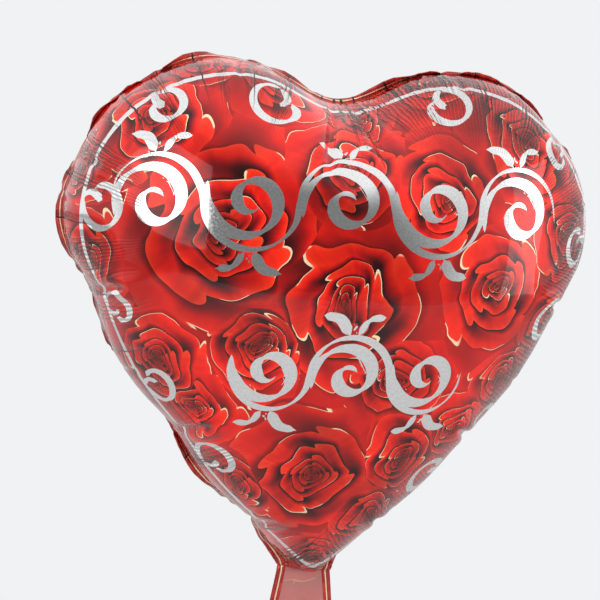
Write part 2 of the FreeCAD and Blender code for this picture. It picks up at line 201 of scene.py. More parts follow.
def unique_edges(triangles):
    """Each edge of the triangles once."""
    return np.unique(np.sort(triangle_edges(triangles), axis=1), axis=0)


def facing_corners(triangles):
    """The two corners that face each other across each inner edge."""
    facing = np.concatenate([triangles[:, 2], triangles[:, 0], triangles[:, 1]])
    key = edge_keys(triangle_edges(triangles))
    order = np.argsort(key, kind="stable")
    pairs = key[order][1:] == key[order][:-1]
    return np.stack([facing[order[:-1][pairs]], facing[order[1:][pairs]]], axis=1)


def independent_groups(links, count, rng):
    """Split the links into groups in which no two share a point."""
    waiting, groups = np.arange(len(links)), []
    while len(waiting):
        chosen, taken, rest = [], np.zeros(count, bool), waiting
        for _ in range(4):
            free = rest[~(taken[links[rest, 0]] | taken[links[rest, 1]])]
            if not len(free):
                break
            draw = rng.random(len(free))
            highest = np.zeros(count)
            np.maximum.at(highest, links[free, 0], draw)
            np.maximum.at(highest, links[free, 1], draw)
            won = free[(highest[links[free, 0]] == draw) & (highest[links[free, 1]] == draw)]
            taken[links[won].ravel()] = True
            chosen.append(won)
            rest = np.setdiff1d(rest, won, assume_unique=True)
        groups.append(np.concatenate(chosen))
        waiting = rest
    return groups


START_GAP = 2.0         # distance of each film from the middle plane before inflation
START_NOISE = 0.05      # uneven by this much, so that it wrinkles freely
CRIMP_WAVE = 38.0       # how far apart the crimps along the seam start
CRIMP_DEPTH = 4.0       # their first height
CRIMP_REACH = 18.0      # how far into the film they reach
PRESSURE_FROM, PRESSURE_RISE = NECK_TOP, 25.0       # there is no pressure in the flat tail
TAIL_GAP = 0.3          # half the gap between the films in the tail
COARSE = 9.0            # spacing of the first mesh, halved at each level
LEVEL_NOISE = 0.02
SEED = 7
LEVELS = [              # steps, push, drag, squeeze, stiffness
    (1500, 0.004, 0.995, 0.01, 0.02),
    (700, 0.002, 0.99, 0.015, 0.10),
    (450, 0.001, 0.98, 0.02, 0.20),
]


class Foil:
    """The two films and their shared flange: flat points, where they are now, and triangles."""

    def __init__(self, spacing, rng):
        flat, film, flange = flat_mesh(spacing)
        count = len(flat)
        in_film, in_flange = np.zeros(count, bool), np.zeros(count, bool)
        in_film[film], in_flange[flange] = True, True
        inner = in_film & ~in_flange
        twin = np.arange(count)
        twin[inner] = count + np.arange(inner.sum())
        self.flat = np.vstack([flat, flat[inner]])
        self.front, self.back, self.flange = film, twin[film][:, ::-1], flange
        depth = np.zeros(len(self.flat))
        depth[:count][inner] = -START_GAP
        depth[count:] = START_GAP
        inset, along = seam_field(self.flat)[:, :2].T
        crimps = CRIMP_DEPTH * np.sin(2 * math.pi * along / CRIMP_WAVE)
        above_neck = np.clip((self.flat[:, 1] - 20) / 40, 0, 1)
        crimps *= np.exp(-np.maximum(inset, 0) / CRIMP_REACH) * above_neck
        depth += crimps + rng.normal(0, START_NOISE, len(self.flat))
        self.now = np.stack([self.flat[:, 0], depth, self.flat[:, 1]], axis=1)

    def triangles(self):
        return np.vstack([self.front, self.back, self.flange])

    def subdivide(self):
        """Split every triangle into four."""
        triangles = self.triangles()
        keys, where = np.unique(edge_keys(triangle_edges(triangles)), return_inverse=True)
        one, other = keys // EDGE_BASE, keys % EDGE_BASE
        count = len(self.flat)
        self.flat = np.vstack([self.flat, (self.flat[one] + self.flat[other]) / 2])
        self.now = np.vstack([self.now, (self.now[one] + self.now[other]) / 2])
        ab, bc, ca = count + where.reshape(3, -1)
        a, b, c = triangles.T
        quarters = [(a, ab, ca), (ab, b, bc), (ca, bc, c), (ab, bc, ca)]
        split = np.stack([np.stack(quarter, axis=1) for quarter in quarters], axis=1)
        sizes = np.cumsum([len(self.front), len(self.back)])
        self.front, self.back, self.flange = (part.reshape(-1, 3) for part in np.split(split, sizes))


def inflate(foil, steps, push, drag, squeeze, stiffness, rng):
    """Blow the films up: pressure on both domes, and edges that don't stretch.

    squeeze is how strongly a shortened edge is pushed back to its length, and stiffness
    how strongly the film keeps from folding sharply.  The tail stays flat and in place.
    """
    flat, now = foil.flat, foil.now
    count = len(flat)
    walls = np.vstack([foil.front, foil.back])
    height = flat[walls][:, :, 1].mean(axis=1)
    pressure = np.clip((height - PRESSURE_FROM) / PRESSURE_RISE, 0, 1)
    area = np.zeros(count)
    for triangle_set in (foil.front, foil.back, foil.flange):
        size = np.abs(doubled_areas(flat, triangle_set)) / 6
        for column in range(3):
            area += np.bincount(triangle_set[:, column], size, minlength=count)
    gain = (push / area)[:, None]

    links = unique_edges(foil.triangles())
    across = np.vstack([facing_corners(part) for part in (foil.front, foil.back, foil.flange)])
    bonds = []
    for pairs, hold in ((links, None), (across, stiffness)):
        length = np.hypot(*(flat[pairs[:, 0]] - flat[pairs[:, 1]]).T)
        for group in independent_groups(pairs, count, rng):
            bonds.append((pairs[group, 0].copy(), pairs[group, 1].copy(), length[group], hold))
    tail = np.flatnonzero(flat[:, 1] <= FOLD_LINE_Z + 0.5)
    tail_place = now[tail].copy()
    tail_place[:, 0], tail_place[:, 2] = flat[tail, 0], flat[tail, 1]
    tail_place[:, 1] = np.sign(tail_place[:, 1]) * np.minimum(np.abs(tail_place[:, 1]), TAIL_GAP)

    speed = np.zeros_like(now)
    for step in range(steps):
        a, b, c = now[walls[:, 0]], now[walls[:, 1]], now[walls[:, 2]]
        normal = np.cross(b - a, c - a) * pressure[:, None] / 6
        load = np.stack([np.bincount(walls.ravel(), np.repeat(normal[:, k], 3), minlength=count)
                         for k in range(3)], axis=1)
        speed = speed * drag + load * gain
        before = now.copy()
        now += speed
        for one, other, length, hold in bonds:
            if hold is not None and (hold == 0 or step % 2):
                continue
            gap = now[one] - now[other]
            distance = np.sqrt(np.einsum("ij,ij->i", gap, gap))
            excess = distance - length
            if hold is None:
                excess = np.where(excess > 0, excess, excess * squeeze)
            else:
                excess *= hold
            shift = gap * (excess / distance * 0.5)[:, None]
            now[one] -= shift
            now[other] += shift
        now[tail] = tail_place
        speed = now - before


EVEN_BIN = 2.5          # the crimps are evened out on a grid of this spacing
EVEN_ALONG = 22.0       # waves along the seam that are shorter than about twice this are evened out
EVEN_REACH = 75.0       # how far into the film
EVEN_SHARE, EVEN_PASSES = 0.9, 2


def blurred(grid, spread):
    """The grid smoothed along its first axis, without pulling its longer curves in."""
    half = int(3 * spread) + 1
    kernel = np.exp(-0.5 * (np.arange(-half, half + 1) / spread) ** 2)
    kernel /= kernel.sum()

    def once(values):
        padded = np.pad(values, ((half, half), (0, 0), (0, 0)), mode="edge")
        return sum(share * padded[k:k + len(values)] for k, share in enumerate(kernel))

    first = once(grid)
    return first + once(grid - first)


def evening_shift(now, place, members):
    """How far each point moves when one film's crimps are evened out along the seam.

    place is each point's signed distance along the seam and its inset, counted in grid steps.
    """
    low = np.floor(place[members].min(axis=0)).astype(int)
    size = np.ceil(place[members].max(axis=0)).astype(int) - low + 2
    cell = np.round(place[members] - low).astype(int)
    flat_cell = cell[:, 0] * size[1] + cell[:, 1]
    count = np.bincount(flat_cell, minlength=size[0] * size[1]).reshape(size)
    grid = np.stack([np.bincount(flat_cell, now[members, k], size[0] * size[1]).reshape(size)
                     for k in range(3)], axis=2)
    for column in range(size[1]):
        known = np.flatnonzero(count[:, column])
        if len(known) == 0:
            continue
        for k in range(3):
            mean = grid[known, column, k] / count[known, column]
            grid[:, column, k] = np.interp(np.arange(size[0]), known, mean)
    shift = blurred(grid, EVEN_ALONG / EVEN_BIN) - grid
    shift = blurred(shift, 1.0)
    spot = np.clip(place - low, 0, size - 1.001)
    base = spot.astype(int)
    part = (spot - base)[:, :, None]
    i, j = base.T
    lower = shift[i, j] * (1 - part[:, 1]) + shift[i, j + 1] * part[:, 1]
    upper = shift[i + 1, j] * (1 - part[:, 1]) + shift[i + 1, j + 1] * part[:, 1]
    return lower * (1 - part[:, 0]) + upper * part[:, 0]


def even_crimps(foil):
    """Real film tucks its slack into narrow folds, so the panels between them are nearly even."""
    inset, along = seam_field(foil.flat)[:, :2].T
    signed = along * np.where(foil.flat[:, 0] < 0, -1.0, 1.0)
    place = np.column_stack([signed, inset]) / EVEN_BIN
    near = inset < EVEN_REACH + 2 * EVEN_BIN
    share = np.clip(1 - np.maximum(inset, 0) / EVEN_REACH, 0, 1)
    share = share * share * (3 - 2 * share) * np.clip((foil.flat[:, 1] - 30) / 60, 0, 1)
    for _ in range(EVEN_PASSES):
        shifts, used = np.zeros_like(foil.now), np.zeros(len(foil.now))
        for film in (foil.front, foil.back):
            member = np.zeros(len(foil.now), bool)
            member[film] = member[foil.flange] = True
            chosen = np.flatnonzero(member & near)
            shifts[chosen] += evening_shift(foil.now, place, chosen)[chosen]
            used[chosen] += 1
        foil.now += EVEN_SHARE * share[:, None] * shifts / np.maximum(used, 1)[:, None]


def inflated_foil():
    rng = np.random.default_rng(SEED)
    foil = Foil(COARSE, rng)
    levels = LEVELS
    for number, level in enumerate(levels):
        if number:
            foil.subdivide()
            foil.now += rng.normal(0, LEVEL_NOISE, foil.now.shape)
        inflate(foil, *level, rng)
    even_crimps(foil)
    return foil


# ------------------------ meshes

FILM_OUT, FILM_IN = 0.25, 0.05      # the film's two faces, measured out from the simulated sheet
TAIL_WAVE, TAIL_WAVELENGTH = 1.3, 24.0


def point_normals(points, triangles):
    """Unit normal at each point, averaged over its triangles."""
    corner = points[triangles]
    normal = np.cross(corner[:, 1] - corner[:, 0], corner[:, 2] - corner[:, 0])
    total = np.zeros_like(points)
    for column in range(3):
        np.add.at(total, triangles[:, column], normal)
    return total / np.maximum(np.linalg.norm(total, axis=1, keepdims=True), 1e-12)


def rim_edges(triangles):
    """The edges that only one triangle uses, in that triangle's direction."""
    edges = triangle_edges(triangles)
    _, first, count = np.unique(edge_keys(edges), return_index=True, return_counts=True)
    return edges[first[count == 1]]


def scene_object(name, data):
    """A new object, put into the scene."""
    made = bpy.data.objects.new(name, data)
    bpy.context.scene.collection.objects.link(made)
    return made


def mesh_object(name, points, faces, material):
    """An object made of points in millimetres and faces."""
    mesh = bpy.data.meshes.new(name)
    mesh.from_pydata((points * MM).tolist(), [], faces)
    mesh.materials.append(material)
    mesh.shade_smooth()
    return scene_object(name, mesh)


def thin_shell(name, sheet, triangles, out, inn, material, values=None):
    """A film as a closed shell: its outer face, its inner face and the rim between them.

    values are named per-point arrays that the material reads; both faces carry them.
    """
    used = np.unique(triangles)
    number = np.zeros(len(sheet), int)
    number[used] = np.arange(len(used))
    local, base = number[triangles], sheet[used]
    normal = point_normals(base, local)
    count = len(used)
    points = np.vstack([base + normal * out, base + normal * inn])
    rim = rim_edges(local)
    walls = np.stack([rim[:, 1], rim[:, 0], rim[:, 0] + count, rim[:, 1] + count], axis=1)
    faces = local.tolist() + (local[:, ::-1] + count).tolist() + walls.tolist()
    piece = mesh_object(name, points, faces, material)
    for key, array in (values or {}).items():
        layer = piece.data.attributes.new(key, "FLOAT_VECTOR", "POINT")
        layer.data.foreach_set("vector", np.tile(array[used], (2, 1)).ravel())
    return piece


# ------------------------ the print, on the flat film

# Everything here is (x, z) on the flat film, in millimetres, x to the right seen from the front.

BORDER_INSET = 36.0         # the silver line that runs along the seam
BORDER_HALF = 1.9
TIP_INSET = 31.0            # where the line runs just above the neck
CLEFT_DROP = 11.0           # how much nearer to the seam it runs below the cleft
PEN_ANGLE = math.radians(35)
PEN_THIN = 0.26              # a stroke's thinnest share of its full width
STROKE_STEP = 0.8           # spacing of the points that a stroke is measured from
SEAM_STEP = 1.5             # and of those that the seam is measured from
BATCH = 4000                # places that are measured at a time

ROSES = [                   # centre x, centre z, radius
    (-135, 363, 33), (-83, 296, 46), (-182, 268, 27), (-7, 256, 38), (-124, 204, 27),
    (-96, 176, 18), (-18, 141, 32), (42, 153, 23), (80, 172, 19), (123, 359, 32),
    (55, 323, 28), (-7, 342, 30), (-58, 412, 25), (71, 416, 25), (92, 268, 29),
    (152, 300, 27), (150, 238, 23), (-192, 332, 23), (150, 404, 22), (-112, 416, 22),
    (-62, 118, 20), (28, 104, 21), (-2, 58, 18), (28, 208, 22), (-58, 226, 22),
    (112, 200, 18), (8, 396, 22), (196, 330, 20),
]

LEAF = [(3, 0), (9, 9), (19, 11)]       # a leaf's middle line from its root: across, up
LEAF_LAYER = 3
BORDER_CURLS = [            # side, how far down the border from the cleft, radius, which way it winds
    (-1, 0.10, 19, 1), (-1, 0.27, 14, -1), (-1, 0.45, 18, 1), (-1, 0.60, 14, -1),
    (-1, 0.70, 15, 1), (-1, 0.82, 17, -1),
    (1, 0.13, 17, -1), (1, 0.33, 13, 1), (1, 0.48, 15, -1), (1, 0.59, 20, -1),
    (1, 0.74, 13, 1), (1, 0.84, 18, -1),
]
CURL_TURNS, CURL_CORE = 0.86, 0.62      # a curl's length, and its last radius over its first
CURL_HALF, CURL_THIN, CURL_TAPER = 2.9, 0.40, 25


def spiral(centre, reach, start, turns, core):
    """Points of a spiral from its outside to its core; start is in degrees, turns may be negative."""
    count = max(8, round(abs(turns) * 14))
    points = []
    for step in range(count + 1):
        share = step / count
        angle = math.radians(start + 360 * turns * share)
        radius = reach * core ** share
        points.append((centre[0] + radius * math.cos(angle), centre[1] + radius * math.sin(angle)))
    return points


def vine(start_x, end_x, middle_z, sag, radius, half, rising=1):
    """A running vine: a stem of half circles, with a scroll that winds in from each of them.

    It gives the pen strokes of the stem and of the scrolls, as (layer, half width, points).
    """
    count = round((end_x - start_x) / (2 * radius))
    strokes, stem = [], []
    for number in range(count):
        x = start_x + (2 * number + 1) * radius
        z = middle_z - sag * (x / (FLAT_WIDTH / 2)) ** 2
        side = rising if number % 2 == 0 else -rising
        stem += spiral((x, z), radius, 180, -0.5 * side, 1.0)[:-1]
        strokes.append((2, half, spiral((x, z), radius, 180 + 20 * side, -side * 1.45, 0.2)))
        tip_z = z + side * (radius + 2)
        for lean in (-1, 1):
            leaf = [(x + lean * across, tip_z + side * up) for across, up in LEAF]
            strokes.append((LEAF_LAYER, 0.85 * half, leaf))
    strokes.append((1, 0.6 * half, stem + [(end_x, middle_z - sag * (end_x / (FLAT_WIDTH / 2)) ** 2)]))
    return strokes


ORNAMENT = vine(-156, 138, 318, 22, 29.4, 4.2) + vine(-76, 74, 212, 0, 25, 4.2, -1)
STROKE_LAYERS = 4           # the border's loops are layer 0, and its tongues are with the leaves


def run_length(chain):
    """The length of a chain of points up to each of them."""
    return np.concatenate([[0], np.cumsum(np.hypot(*np.diff(chain, axis=0).T))])


def smooth_chain(points, spacing):
    """A smooth line through the points, at an even spacing."""
    points = np.array(points, float)
    ends = np.vstack([2 * points[0] - points[1], points, 2 * points[-1] - points[-2]])
    fine = []
    for p0, p1, p2, p3 in zip(ends, ends[1:], ends[2:], ends[3:]):
        for t in np.arange(0, 1, 0.1):
            bend = (2 * p0 - 5 * p1 + 4 * p2 - p3) * t + (3 * (p1 - p2) + p3 - p0) * t * t
            fine.append(p1 + 0.5 * t * ((p2 - p0) + bend))
    fine = np.array(fine + [points[-1]])
    length = run_length(fine)
    even = np.linspace(0, length[-1], max(2, round(length[-1] / spacing)))
    return np.stack([np.interp(even, length, fine[:, k]) for k in (0, 1)], axis=1)


def pen_stroke(points, half, thin=PEN_THIN, taper=7):
    """A stroke's centre line, its directions and its half width, thick and thin as by a broad pen."""
    line = smooth_chain(points, STROKE_STEP)
    direction = np.gradient(line, axis=0)
    direction /= np.hypot(*direction.T)[:, None]
    angle = np.arctan2(direction[:, 1], direction[:, 0])
    width = half * (thin + (1 - thin) * np.abs(np.sin(angle - PEN_ANGLE)))
    share = np.linspace(0, 1, len(line))
    narrowing = np.minimum(1, np.minimum(share, 1 - share) * taper) ** 0.6
    return line, direction, width * narrowing


def border_line():
    """The silver border on both halves, as one chain of points."""
    right = [p for p in half_seam(3.0, -BORDER_INSET) if p[1] > NECK_TOP]
    return np.array([(-x, z) for x, z in right[::-1]] + right)


def border_curl(side, share, radius, winding, border):
    """A curl that leaves the border at a share of the way down one side: its loop and its tongue."""
    half = border[border[:, 0] * side > 0][::side]
    number = round(share * (len(half) - 1))
    place = half[number]
    along = half[number + 3] - half[max(0, number - 3)]
    along /= np.hypot(*along)
    inward = np.array((along[1], -along[0])) * side
    centre = place + radius * inward
    start = math.degrees(math.atan2(-inward[1], -inward[0]))
    loop = spiral(tuple(centre), radius, start, winding * CURL_TURNS, CURL_CORE)
    lean = along * radius * winding * side
    tongue = [place + 0.12 * lean, place + 0.5 * radius * inward + 0.30 * lean, centre + 0.12 * lean]
    return loop, tongue


def strokes_of(layer):
    """The pen strokes of one layer; the strokes of one layer never cross."""
    border = border_line()
    curls = [border_curl(*curl, border) for curl in BORDER_CURLS]
    lines = {0: [loop for loop, _ in curls], LEAF_LAYER: [tongue for _, tongue in curls]}.get(layer, [])
    strokes = [pen_stroke(line, CURL_HALF, CURL_THIN, CURL_TAPER) for line in lines]
    return strokes + [pen_stroke(points, half) for number, half, points in ORNAMENT if number == layer]


def nearest_points(places, line):
    """For each place, the number of the nearest of a line's points."""
    found = []
    for begin in range(0, len(places), BATCH):
        gap = places[begin:begin + BATCH, None, :] - line[None, :, :]
        found.append(np.einsum("ijk,ijk->ij", gap, gap).argmin(axis=1))
    return np.concatenate(found)


def stroke_field(places, strokes):
    """For each place: how far it is to the side of the nearest stroke, that stroke's half
    width there, and the plain distance to it."""
    line, direction = (np.vstack([stroke[part] for stroke in strokes]) for part in (0, 1))
    width = np.concatenate([stroke[2] for stroke in strokes])
    nearest = nearest_points(places, line)
    offset, along = places - line[nearest], direction[nearest]
    side = along[:, 0] * offset[:, 1] - along[:, 1] * offset[:, 0]
    return np.column_stack([side, width[nearest], np.hypot(*offset.T)])


def seam_field(places):
    """For each place: how far inside the seam it is, and how far along the seam."""
    chain = np.array(half_seam(SEAM_STEP))
    loop = np.vstack([chain, chain[::-1] * (-1, 1)])
    mirrored = np.column_stack([np.abs(places[:, 0]), places[:, 1]])
    near = np.clip(nearest_points(mirrored, chain), 1, len(chain) - 2)
    along = chain[near + 1] - chain[near - 1]
    along /= np.hypot(*along.T)[:, None]
    offset = mirrored - chain[near]
    side = np.abs(along[:, 0] * offset[:, 1] - along[:, 1] * offset[:, 0])
    inset = np.where(inside(places, loop), side, -side)
    distance = run_length(chain)[near] + (along * offset).sum(axis=1)
    return np.column_stack([inset, distance, np.zeros(len(places))])


def print_values(flat):
    """The named values that the films carry for their material."""
    values = {"flat": np.column_stack([flat, np.zeros(len(flat))]), "edge_place": seam_field(flat)}
    for layer in range(STROKE_LAYERS):
        values[f"stroke_{layer}"] = stroke_field(flat, strokes_of(layer))
    return values


# ------------------------ materials

class Graph:
    """Short forms for adding nodes to a material or world; a value is a socket or a plain number."""

    def __init__(self, name, kind="materials"):
        self.owner = getattr(bpy.data, kind).new(name)
        self.owner.use_nodes = True
        self.tree = self.owner.node_tree
        self.shader = next(node for node in self.tree.nodes if "OUTPUT" not in node.type)

    def fill(self, node, values):
        for key, value in values.items():
            if isinstance(value, bpy.types.NodeSocket):
                self.tree.links.new(value, node.inputs[key])
            else:
                node.inputs[key].default_value = value
        return node

    def node(self, kind, values, **settings):
        made = self.tree.nodes.new("ShaderNode" + kind)
        for key, setting in settings.items():
            setattr(made, key, setting)
        return self.fill(made, values)

    def math(self, operation, *values):
        return self.node("Math", dict(enumerate(values)), operation=operation).outputs[0]

    def vector(self, operation, *values):
        return self.node("VectorMath", dict(enumerate(values)), operation=operation).outputs[0]

    def distance(self, one, other):
        return self.node("VectorMath", {0: one, 1: other}, operation="DISTANCE").outputs["Value"]

    def mix(self, share, first, second, kind="RGBA"):
        slots = {"FLOAT": (2, 3, 0), "VECTOR": (4, 5, 1), "RGBA": (6, 7, 2)}[kind]
        made = self.node("Mix", {0: share, slots[0]: first, slots[1]: second}, data_type=kind)
        return made.outputs[slots[2]]

    def times(self, colour, factor):
        """A colour made darker or brighter by a factor."""
        return self.node("VectorMath", {0: colour, 3: factor}, operation="SCALE").outputs[0]

    def smooth(self, value, low, high, start=0.0, end=1.0):
        values = {0: value, 1: low, 2: high, 3: start, 4: end}
        return self.node("MapRange", values, interpolation_type="SMOOTHSTEP").outputs[0]

    def noise(self, place, scale, detail=2.0, output="Fac"):
        values = {"Vector": place, "Scale": scale, "Detail": detail}
        return self.node("TexNoise", values).outputs[output]

    def parts(self, vector):
        return self.node("SeparateXYZ", {0: vector}).outputs

    def join(self, x, y, z):
        return self.node("CombineXYZ", {0: x, 1: y, 2: z}).outputs[0]

    def value(self, name):
        """A vector that the mesh carries."""
        return self.node("Attribute", {}, attribute_name=name).outputs["Vector"]

    def ramp(self, share, stops):
        made = self.node("ValToRGB", {0: share})
        elements = made.color_ramp.elements
        while len(elements) < len(stops):
            elements.new(0.5)
        for element, (position, colour) in zip(elements, stops):
            element.position = position
            element.color = (*colour, 1)
        return made.outputs[0]

    def fade(self, value, low, high):
        """1 below low, 0 above high, and smooth between them."""
        return self.smooth(value, low, high, 1.0, 0.0)

    def product(self, one, other):
        return self.math("MULTIPLY", one, other)

    def gap(self, one, other):
        """How far apart two numbers are."""
        return self.math("ABSOLUTE", self.math("SUBTRACT", one, other))

    def bump(self, height, distance, normal=None):
        values = {"Height": height, "Distance": distance}
        if normal is not None:
            values["Normal"] = normal
        return self.node("Bump", values).outputs[0]

    def finish(self, **values):
        self.fill(self.shader, {key.replace("_", " "): value for key, value in values.items()})
        return self.owner


LAYER_SHRINK = math.log(0.63)       # each ring of petals over the one outside it
PETALS = 3
PETAL_BULGE = 0.40
NOTCH_CREASE = 12.0                 # from the cleft along the seam to the long crease beside it
PETAL_STOPS = [                     # from the shadow under the inner petals out to the rim
    (0.00, (0.010, 0.000, 0.000)), (0.10, (0.045, 0.000, 0.001)), (0.28, (0.25, 0.001, 0.002)),
    (0.55, (0.64, 0.006, 0.002)), (0.84, (0.86, 0.018, 0.003)), (1.00, (0.92, 0.048, 0.010)),
]
GOLD = (0.86, 0.66, 0.42, 1)
SILVER = (0.90, 0.90, 0.89)
PLAIN_RED = (0.74, 0.008, 0.003, 1)
CREASE_LENGTHS = (38.0, 78.0)       # the shortest and the longest crease
VALLEY_HALF = 7.0                   # half the width of the valley round a crease
VALLEY_DEPTH, RIPPLE_DEPTH = 0.0022, 0.0014      # in metres
# painted shade: the near-black colour painted into the sharp creases
CREASE_PAINTED_SHADE = (0.03, 0.002, 0.002, 1)
# the flange's dark red, and the bright red of its painted glints
FLANGE_RED, FLANGE_GLINT = (0.26, 0.006, 0.007, 1), (0.62, 0.05, 0.03, 1)
FLANGE_LINE = 2.6                   # the thin gold line on the flange, from the seam
INK_METAL = 0.38                    # how much of the foil shows through the ink
INK_ROUGH, SILVER_ROUGH = (0.21, 0.26), (0.06, 0.12)
TAIL_GREY = (0.46, 0.22, 0.20, 1)


def rose_colour(graph, flat):
    """The printed roses: every place takes its petals from the nearest rose."""
    sway = graph.vector("SUBTRACT", graph.noise(flat, 0.03, 1.0, "Color"), (0.5, 0.5, 0.5))
    place = graph.vector("MULTIPLY_ADD", sway, (22, 22, 0), flat)
    nearest, local = None, None
    for number, (x, z, radius) in enumerate(ROSES):
        reach = graph.math("DIVIDE", graph.distance(place, (x, z, 0)), radius)
        shift = (-x / radius, -z / radius, 1.7 * number)
        here = graph.vector("MULTIPLY_ADD", place, (1 / radius, 1 / radius, 0), shift)
        if nearest is None:
            nearest, local = reach, here
            continue
        nearer = graph.math("LESS_THAN", reach, nearest)
        local = graph.mix(nearer, local, here, "VECTOR")
        nearest = graph.math("MINIMUM", reach, nearest)

    wobble = graph.vector("SUBTRACT", graph.noise(local, 1.7, 1.0, "Color"), (0.5, 0.5, 0.5))
    local = graph.vector("MULTIPLY_ADD", wobble, (0.26, 0.26, 0), local)
    u, v, seed = graph.parts(local)
    radius = graph.math("SQRT", graph.math("ADD", graph.product(u, u), graph.product(v, v)))
    radius = graph.math("MAXIMUM", radius, 0.03)
    depth = graph.math("LOGARITHM", radius, math.e)
    angle = graph.math("ARCTAN2", v, u)

    spin = graph.product(depth, math.pi / LAYER_SHRINK)
    petal = graph.math("MULTIPLY_ADD", angle, PETALS / 2, spin)
    bulge = graph.math("ABSOLUTE", graph.math("SINE", graph.math("ADD", petal, seed)))
    layers = graph.math("DIVIDE", depth, -LAYER_SHRINK)
    outward = graph.math("MULTIPLY_ADD", angle, 0.5 / math.pi, layers)
    outward = graph.math("MULTIPLY_ADD", bulge, -PETAL_BULGE, outward)
    across = graph.math("FRACT", graph.math("MULTIPLY_ADD", seed, 0.37, outward))

    colour = graph.ramp(across, PETAL_STOPS)
    unit = graph.join(graph.math("DIVIDE", u, radius), graph.math("DIVIDE", v, radius), depth)
    veins = graph.noise(graph.vector("MULTIPLY", unit, (7, 7, 1.2)), 1.0, 3.0)
    colour = graph.times(colour, graph.smooth(veins, 0.25, 0.75, 0.82, 1.16))
    outer = graph.smooth(radius, 0.75, 1.5, 0.0, 0.55)
    colour = graph.mix(outer, colour, PLAIN_RED)
    side = graph.math("SINE", graph.math("ADD", angle, seed))
    colour = graph.times(colour, graph.math("MULTIPLY_ADD", side, 0.16, 0.92))
    colour = graph.times(colour, graph.smooth(radius, 0.04, 0.5, 0.35, 1.0))
    clouds = graph.noise(flat, 0.018, 2.0)
    colour = graph.times(colour, graph.smooth(clouds, 0.3, 0.7, 0.66, 1.22))

    rim = graph.smooth(across, 0.955, 0.972)
    broken = graph.smooth(graph.noise(flat, 0.035, 0.0), 0.52, 0.56)
    return graph.mix(graph.product(rim, broken), colour, GOLD)


def silver_mask(graph, inset, x, flat_z):
    """1 on the silver border and on the pen strokes, 0 elsewhere."""
    border_inset = graph.smooth(flat_z, 40.0, 110.0, TIP_INSET, BORDER_INSET)
    near_cleft = graph.smooth(graph.math("ABSOLUTE", x), 15.0, 90.0, CLEFT_DROP, 0.0)
    drop = graph.product(near_cleft, graph.smooth(flat_z, 250.0, 320.0))
    border_inset = graph.math("SUBTRACT", border_inset, drop)
    off_border = graph.gap(inset, border_inset)
    mask = graph.math("LESS_THAN", off_border, BORDER_HALF)
    for layer in range(STROKE_LAYERS):
        side, half, near = graph.parts(graph.value(f"stroke_{layer}"))
        within = graph.math("LESS_THAN", graph.math("ABSOLUTE", side), half)
        close = graph.math("LESS_THAN", near, graph.math("ADD", half, 1.7))
        mask = graph.math("MAXIMUM", mask, graph.product(within, close))
    return graph.product(mask, graph.math("GREATER_THAN", flat_z, NECK_TOP + 14))


def crimp_creases(graph, inset, along, x):
    """The sharp creases square to the seam: the mask of the painted shade along each one, and its
    shallow valley.
    """
    side = graph.math("SIGN", x)
    sway = graph.noise(graph.join(graph.product(along, 0.02), graph.product(side, 7.0), 0.0), 1.0, 0.0)
    count = graph.math("ADD", graph.math("DIVIDE", along, CRIMP_WAVE), graph.product(sway, 0.9))
    off = graph.product(graph.gap(graph.math("FRACT", count), 0.5), CRIMP_WAVE)
    number = graph.join(graph.product(graph.math("FLOOR", count), 3.7), graph.product(side, 5.1), 2.0)
    length = graph.smooth(graph.noise(number, 1.0, 0.0), 0.25, 0.75, *CREASE_LENGTHS)
    fading = graph.fade(graph.math("DIVIDE", inset, length), 0.5, 1.0)
    crease_shade = graph.product(graph.fade(off, 0.4, 1.0), fading)
    valley = graph.product(graph.smooth(off, 0.0, VALLEY_HALF, -1.0, 0.0), fading)

    off_notch = graph.gap(along, NOTCH_CREASE)
    # the long crease beside the cleft gets the same painted shade
    notch_shade = graph.product(graph.fade(off_notch, 0.3, 0.9), graph.fade(inset, 35.0, 52.0))
    notch_valley = graph.smooth(off_notch, 0.0, VALLEY_HALF, -1.0, 0.0)
    notch_valley = graph.product(notch_valley, graph.fade(inset, 35.0, 60.0))
    return graph.math("MAXIMUM", crease_shade, notch_shade), graph.math("MINIMUM", valley, notch_valley)


def seam_ripples(graph, inset, along, x):
    """Bunches of fine ripples square to the seam, more on the right, which die out over the dome."""
    sway = graph.noise(graph.join(along, inset, 0.0), 0.05, 1.0)
    crowd = graph.noise(graph.join(along, 3.0, 0.0), 0.035, 1.0)
    bunches = graph.smooth(graph.math("MULTIPLY_ADD", graph.math("SIGN", x), 0.09, crowd), 0.40, 0.54)
    wave = graph.math("SINE", graph.math("MULTIPLY_ADD", sway, 9.0, graph.product(along, 1.7)))
    reach = graph.product(graph.fade(inset, 36.0, 88.0), graph.math("GREATER_THAN", inset, 0.0))
    return graph.product(wave, graph.product(reach, bunches))


